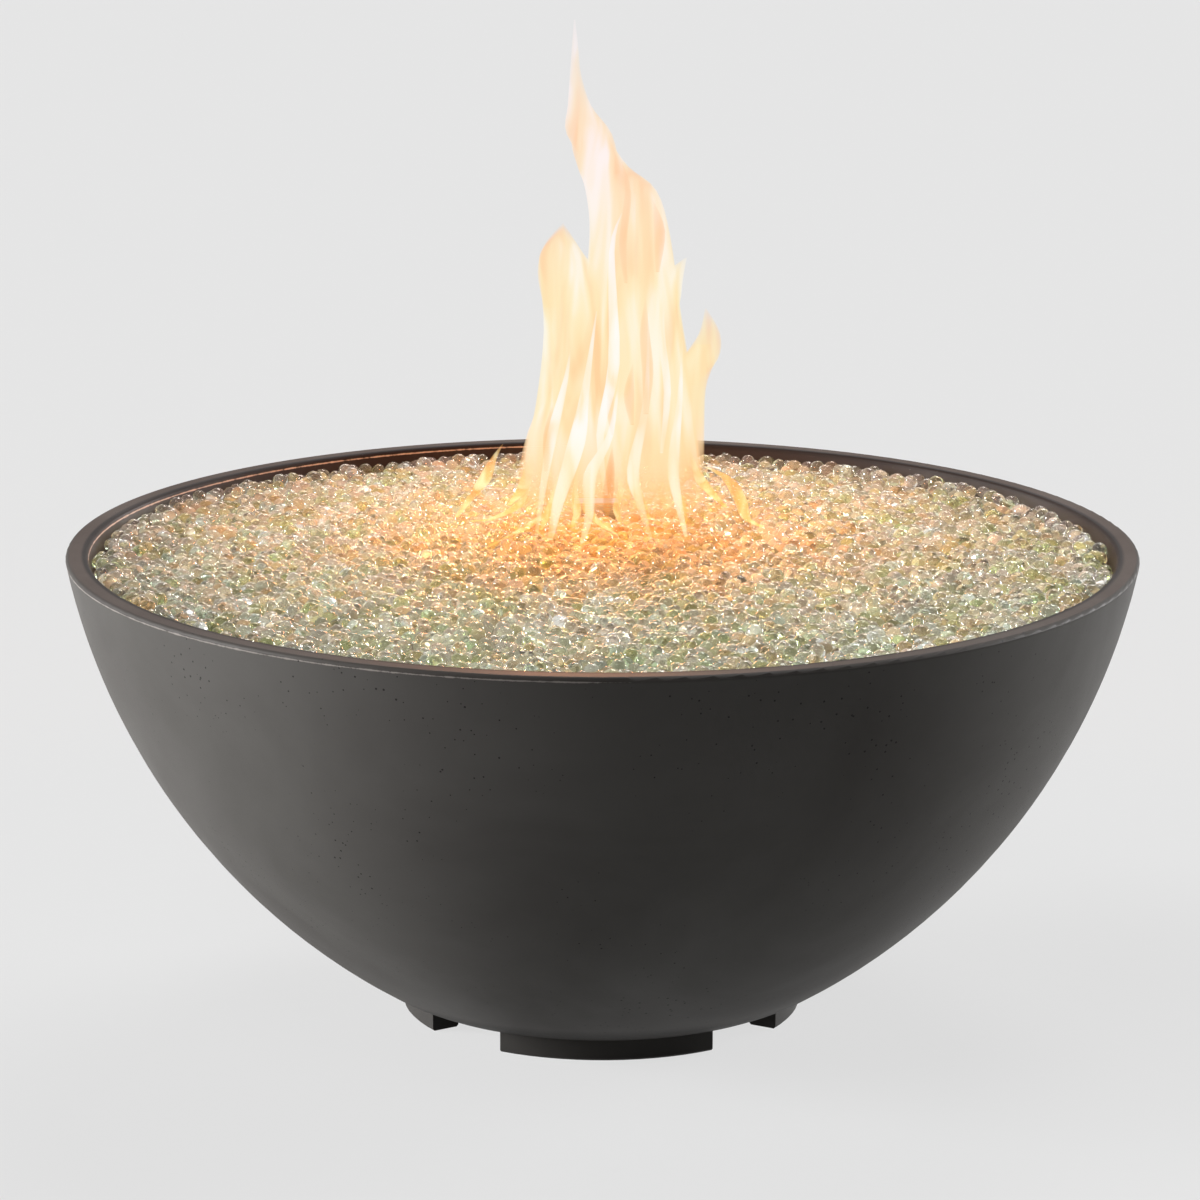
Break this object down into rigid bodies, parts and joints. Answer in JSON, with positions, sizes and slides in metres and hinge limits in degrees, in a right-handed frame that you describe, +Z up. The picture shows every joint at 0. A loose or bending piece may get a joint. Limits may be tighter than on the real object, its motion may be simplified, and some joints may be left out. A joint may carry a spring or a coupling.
{
  "type": "gas fire pit bowl",
  "caption": "Round cast-concrete gas fire bowl on cast feet, with a glass-covered ring burner, rear control plate, valve knob and spark igniter.",
  "frame": {"origin": "on the ground under the bowl's centre", "axes": "+Z up along the bowl's axis, +Y towards the control plate at the back"},
  "size_m": [1.073, 1.0726, 0.476],
  "materials": {
    "concrete": "matte cast concrete with pinholes",
    "glass_gems": "clear and pale green tempered gems",
    "stainless": "brushed",
    "galvanised": "dull galvanised",
    "black_iron": "dull black",
    "brass": "machined",
    "hose_rubber": "matt",
    "lead_rubber": "silicone sleeve",
    "black_plastic": "fine matt",
    "red_plastic": "smooth",
    "white_plastic": "nylon",
    "battery_wrap": "printed-free wrap",
    "white_ceramic": "unglazed"
  },
  "bodies": {
    "bowl": {"bowl_shell": "concrete", "media_tray": "galvanised", "tray_ribs": "galvanised", "burner_pan": "stainless", "burner_ring": "stainless", "burner_nipple": "black_iron", "burner_lock_nuts": "black_iron", "air_mixer": "black_iron", "orifice_spud": "brass", "mixer_elbow": "brass", "inlet_plate": "galvanised", "inlet_fitting": "brass", "inlet_lock_nut": "brass", "inlet_elbow": "brass", "burner_hose": "hose_rubber", "inlet_hose": "hose_rubber", "hose_nuts": "brass", "control_plate": "stainless", "valve_body": "brass", "knob_spring": "stainless", "button_spring": "stainless", "knob_bezel": "stainless", "igniter_body": "black_plastic", "igniter_nut": "black_plastic", "igniter_battery": "battery_wrap", "pilot_bracket": "stainless", "electrode_insulator": "white_ceramic", "electrode_pin": "stainless", "thermocouple": "stainless", "ignition_lead": "lead_rubber", "thermocouple_lead": "brass", "pan_screws": "stainless", "pilot_screws": "stainless", "valve_screws": "stainless", "panel_screws": "stainless", "base_screws": "stainless", "panel_inserts": "brass", "base_inserts": "brass", "glass_media": "glass_gems"},
    "knob_carrier": {"thrust_washer": "white_plastic"},
    "knob": {"control_knob": "black_plastic", "valve_stem": "stainless"},
    "cap_carrier": {"cap_gasket": "hose_rubber"},
    "cap": {"igniter_cap": "black_plastic"},
    "button": {"igniter_button": "red_plastic"},
    "shutter": {"air_shutter": "black_iron", "shutter_screw": "black_iron"}
  },
  "joints": [
    {"name": "knob_push", "type": "slide", "parent": "bowl", "child": "knob_carrier", "axis": [0, -0.8845, 0.4665], "range_m": [0, 0.0035], "stiffness_N_per_m": 1200, "springref_m": -0.004, "deforming": ["knob_spring"]},
    {"name": "knob_turn", "type": "hinge", "parent": "knob_carrier", "child": "knob", "pos_m": [0.032, 0.46293, 0.2949], "axis": [0, 0.8845, -0.4665], "range_deg": [-90, 110]},
    {"name": "cap_lift", "type": "slide", "parent": "bowl", "child": "cap_carrier", "axis": [0, 0.8845, -0.4665], "range_m": [0, 0.006]},
    {"name": "cap_unscrew", "type": "hinge", "parent": "cap_carrier", "child": "cap", "pos_m": [-0.034, 0.46293, 0.2949], "axis": [0, 0.8845, -0.4665], "range_deg": [0, 1440]},
    {"name": "button_press", "type": "slide", "parent": "cap", "child": "button", "axis": [0, -0.8845, 0.4665], "range_m": [0, 0.0035], "stiffness_N_per_m": 600, "springref_m": -0.004, "deforming": ["button_spring"]},
    {"name": "shutter_turn", "type": "hinge", "parent": "bowl", "child": "shutter", "pos_m": [0, 0, 0.285], "axis": [0, 0, 1], "range_deg": [0, 60]}
  ],
  "couplings": [
    {"joint": "cap_lift", "follows": "cap_unscrew", "m_per_rad": 0.00023873}
  ]
}
